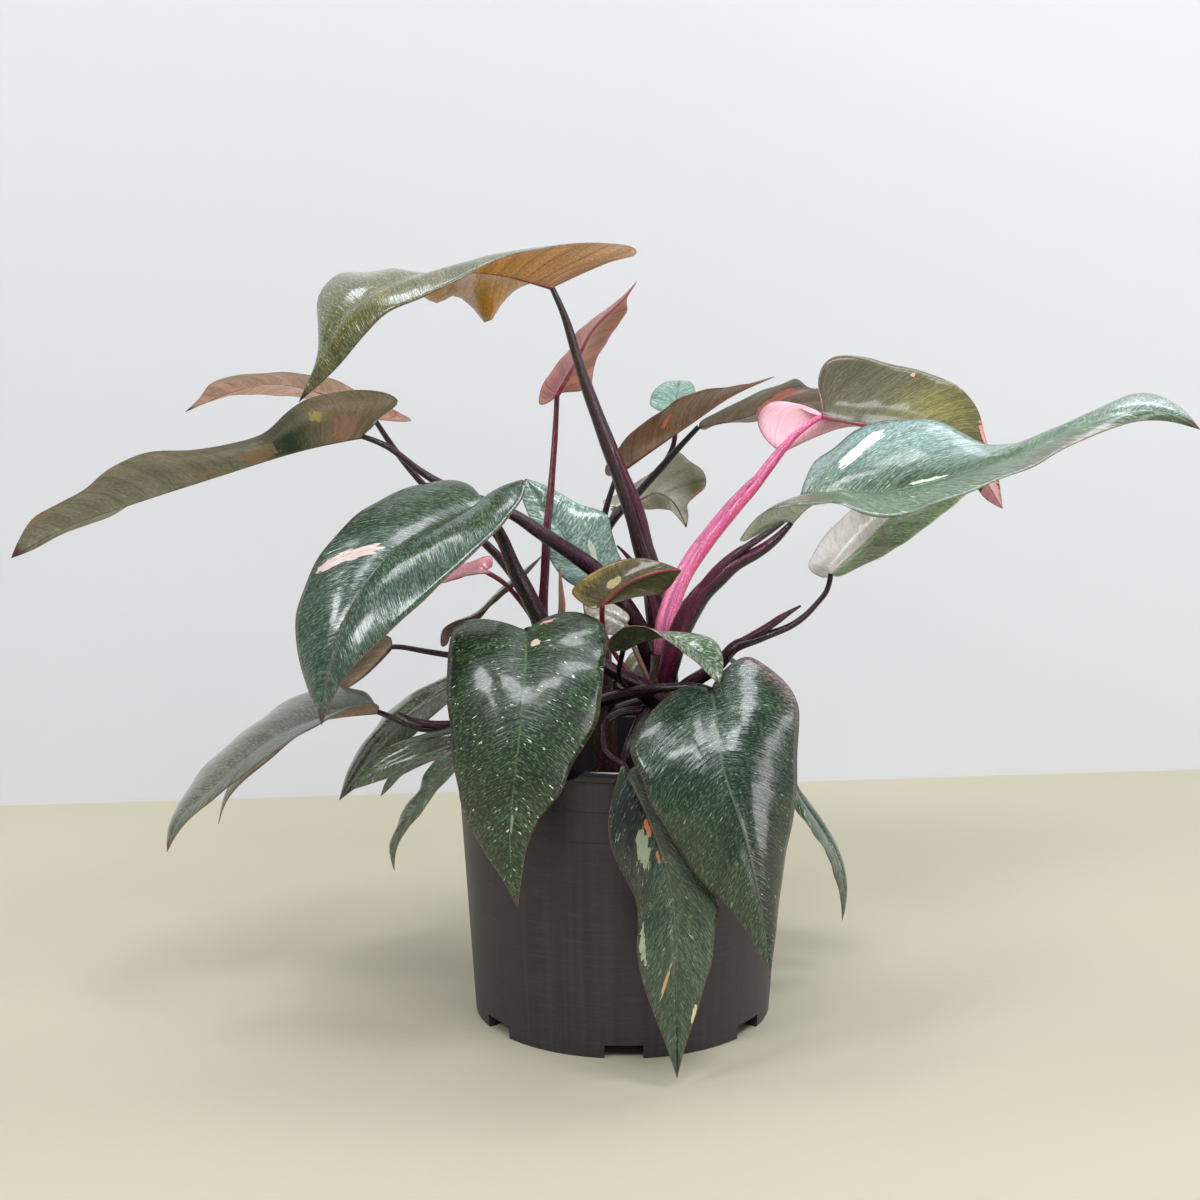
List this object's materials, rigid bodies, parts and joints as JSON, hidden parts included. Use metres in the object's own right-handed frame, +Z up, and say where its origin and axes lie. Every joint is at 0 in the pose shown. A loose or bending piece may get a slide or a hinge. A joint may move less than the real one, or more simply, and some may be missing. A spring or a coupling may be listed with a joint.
{
  "type": "potted plant",
  "caption": "Potted philodendron with large heart-shaped leaves variegated in pink and cream, in a round plastic nursery pot.",
  "frame": {"origin": "centre of the bounding box's bottom, on the pot's axis at its foot", "axes": "+Z up, +X to the right as seen from the front, -Y towards the viewer"},
  "size_m": [0.5576, 0.2169, 0.3735],
  "materials": {
    "leaf_green": "dark green leaf with a waxy gloss",
    "leaf_underside": "reddish brown leaf seen mostly from below",
    "leaf_cream": "leaf with a cream half",
    "leaf_pink": "pale pink young leaf",
    "stalk_purple": "smooth dark purple stalk",
    "stalk_pink": "smooth pink stalk",
    "pot_plastic": "dark charcoal moulded plastic",
    "soil_bark": "loose bark and peat mix"
  },
  "bodies": {
    "root": {"leaf_top": "leaf_underside", "leaf_upright": "leaf_underside", "leaf_far_left": "leaf_green", "leaf_brown_left": "leaf_underside", "leaf_front_left": "leaf_green", "leaf_pink_small": "leaf_pink", "leaf_front": "leaf_green", "leaf_front_right": "leaf_green", "leaf_hanging": "leaf_green", "leaf_half_cream": "leaf_cream", "leaf_far_right": "leaf_green", "leaf_half_pink": "leaf_underside", "leaf_grey_right": "leaf_underside", "leaf_brown_right": "leaf_underside", "leaf_teal_back": "leaf_green", "leaf_teal_small": "leaf_green", "leaf_grey_back": "leaf_underside", "leaf_olive_small": "leaf_underside", "leaf_twisted_small": "leaf_green", "leaf_low_left": "leaf_green", "leaf_low_left_behind": "leaf_green", "leaf_low_a": "leaf_green", "leaf_low_b": "leaf_green", "leaf_low_c": "leaf_green", "leaf_low_d": "leaf_green", "leaf_low_right": "leaf_green", "leaf_pale_back": "leaf_green", "leaf_edge_on": "leaf_green", "leaf_pale_pink": "leaf_pink", "leaf_back_left_low": "leaf_green", "leaf_back_right_low": "leaf_green", "leaf_back_left_high": "leaf_green", "leaf_back_right_high": "leaf_green", "stem_right": "stalk_purple", "stem_left": "stalk_purple", "stem_back": "stalk_purple", "petiole_pink": "stalk_pink", "pot": "pot_plastic", "soil": "soil_bark"}
  },
  "joints": []
}
